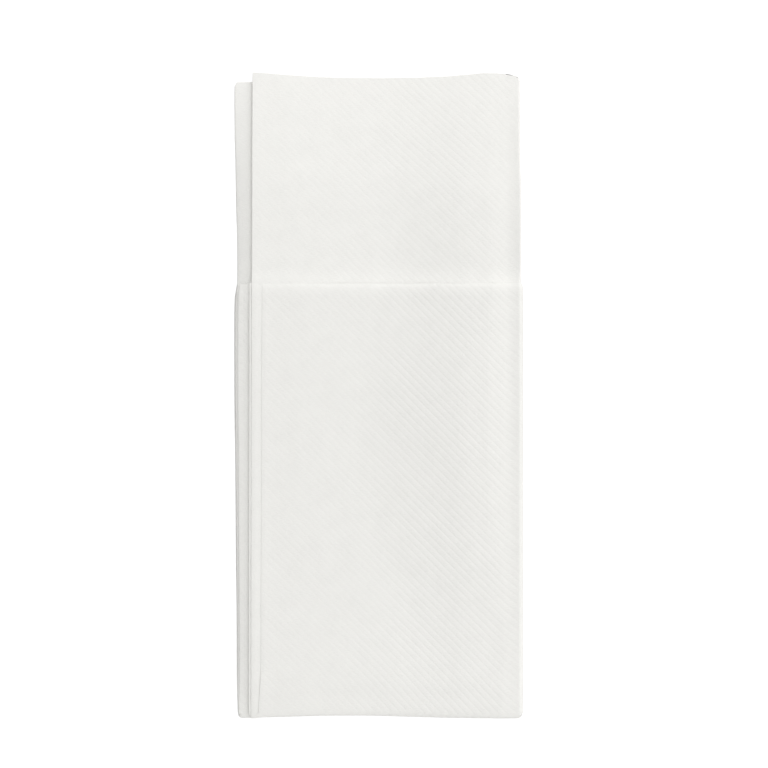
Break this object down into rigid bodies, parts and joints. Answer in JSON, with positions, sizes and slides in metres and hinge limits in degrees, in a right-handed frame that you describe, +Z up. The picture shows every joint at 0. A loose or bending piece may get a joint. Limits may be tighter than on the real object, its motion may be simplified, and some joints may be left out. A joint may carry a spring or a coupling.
{
  "type": "paper napkin",
  "caption": "White embossed paper napkin, one square sheet folded flat with a cutlery pocket across its front.",
  "frame": {"origin": "centre of the folded napkin's outline, on the surface it lies on", "axes": "+X across the napkin to its single outer fold, +Y along it from the closed bottom fold to the cut top edge, +Z up out of its front, where the pocket opens"},
  "size_m": [0.1072, 0.2392, 0.0047],
  "materials": {
    "tissue": "matt white airlaid paper with a fine diagonal embossing"
  },
  "bodies": {
    "root": {"napkin": "tissue"}
  },
  "joints": []
}
